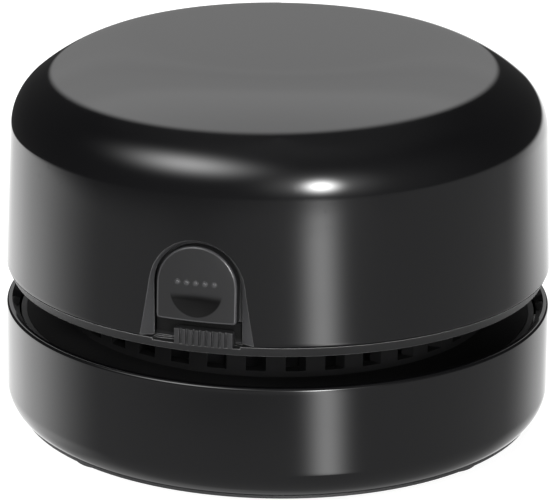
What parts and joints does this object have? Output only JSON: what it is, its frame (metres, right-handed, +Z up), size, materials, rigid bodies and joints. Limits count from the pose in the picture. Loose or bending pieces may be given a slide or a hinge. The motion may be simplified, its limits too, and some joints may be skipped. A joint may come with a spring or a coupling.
{
  "type": "desktop mini vacuum cleaner",
  "caption": "Round, gloss black desk vacuum: a domed battery cover with an arch-shaped release button and a slide switch sits over a narrow air-outlet waist and a twist-off dust bowl.",
  "frame": {"origin": "on the table surface, under the middle of the round base (bottom centre of the bounding box)", "axes": "+Z up; the release button and the slide switch face -Y; +X is to the right of somebody who looks at the button"},
  "size_m": [0.085, 0.085, 0.06],
  "materials": {
    "dust_bowl": "gloss black",
    "mouth_chimney": "satin black",
    "base_plate": "fine-grained black",
    "brush_strips": "black nylon bristles",
    "rubber_feet": "soft black rubber",
    "base_screws": "zinc-plated",
    "chassis": "satin black",
    "vent_ring": "satin black",
    "bowl_seal": "soft black rubber",
    "fan_deck": "satin dark grey",
    "deck_screws": "zinc-plated",
    "filter_frame": "light grey",
    "filter_cloth": "white non-woven cloth",
    "motor_can": "drawn and plated",
    "motor_end_cap": "white nylon",
    "motor_terminals": "bare",
    "motor_bracket": "pressed strip",
    "small_screws": "zinc-plated",
    "left_cell": "plain green jacket, bare metal ends",
    "right_cell": "plain green jacket, bare metal ends",
    "bridge_contact": "nickel-plated",
    "end_contacts": "nickel-plated",
    "contact_springs": "nickel-plated wire",
    "switch_case": "plated sheet",
    "lead_wires": "red and black insulation",
    "latch_arm": "satin black",
    "motor_shaft": "ground",
    "fan_wheel": "pale grey",
    "cover_shell": "gloss black",
    "release_button": "satin black",
    "slide_button": "satin black",
    "switch_lever": "black"
  },
  "bodies": {
    "bowl": {"dust_bowl": "dust_bowl", "mouth_chimney": "mouth_chimney", "base_plate": "base_plate", "brush_strips": "brush_strips", "rubber_feet": "rubber_feet", "base_screws": "base_screws"},
    "main_unit": {"chassis": "chassis", "vent_ring": "vent_ring", "bowl_seal": "bowl_seal", "fan_deck": "fan_deck", "deck_screws": "deck_screws", "filter_frame": "filter_frame", "filter_cloth": "filter_cloth", "motor_can": "motor_can", "motor_end_cap": "motor_end_cap", "motor_terminals": "motor_terminals", "motor_bracket": "motor_bracket", "small_screws": "small_screws", "left_cell": "left_cell", "right_cell": "right_cell", "bridge_contact": "bridge_contact", "end_contacts": "end_contacts", "contact_springs": "contact_springs", "switch_case": "switch_case", "lead_wires": "lead_wires", "latch_arm": "latch_arm"},
    "rotor": {"motor_shaft": "motor_shaft", "fan_wheel": "fan_wheel"},
    "cover": {"cover_shell": "cover_shell"},
    "button": {"release_button": "release_button"},
    "switch": {"slide_button": "slide_button", "switch_lever": "switch_lever"}
  },
  "joints": [
    {"name": "unit_twist", "type": "hinge", "parent": "bowl", "child": "main_unit", "pos_m": [0, 0, 0], "axis": [0, 0, 1], "range_deg": [0, 22]},
    {"name": "rotor_spin", "type": "hinge", "parent": "main_unit", "child": "rotor", "pos_m": [0, 0, 0], "axis": [0, 0, 1], "continuous": true},
    {"name": "cover_lift", "type": "slide", "parent": "main_unit", "child": "cover", "axis": [0, 0, 1], "range_m": [0, 0.04]},
    {"name": "button_press", "type": "slide", "parent": "main_unit", "child": "button", "axis": [0, 1, 0], "range_m": [0, 0.0013], "stiffness_N_per_m": 600, "deforming": ["latch_arm"]},
    {"name": "switch_slide", "type": "slide", "parent": "main_unit", "child": "switch", "axis": [-1, 0, 0], "range_m": [0, 0.0025]}
  ]
}
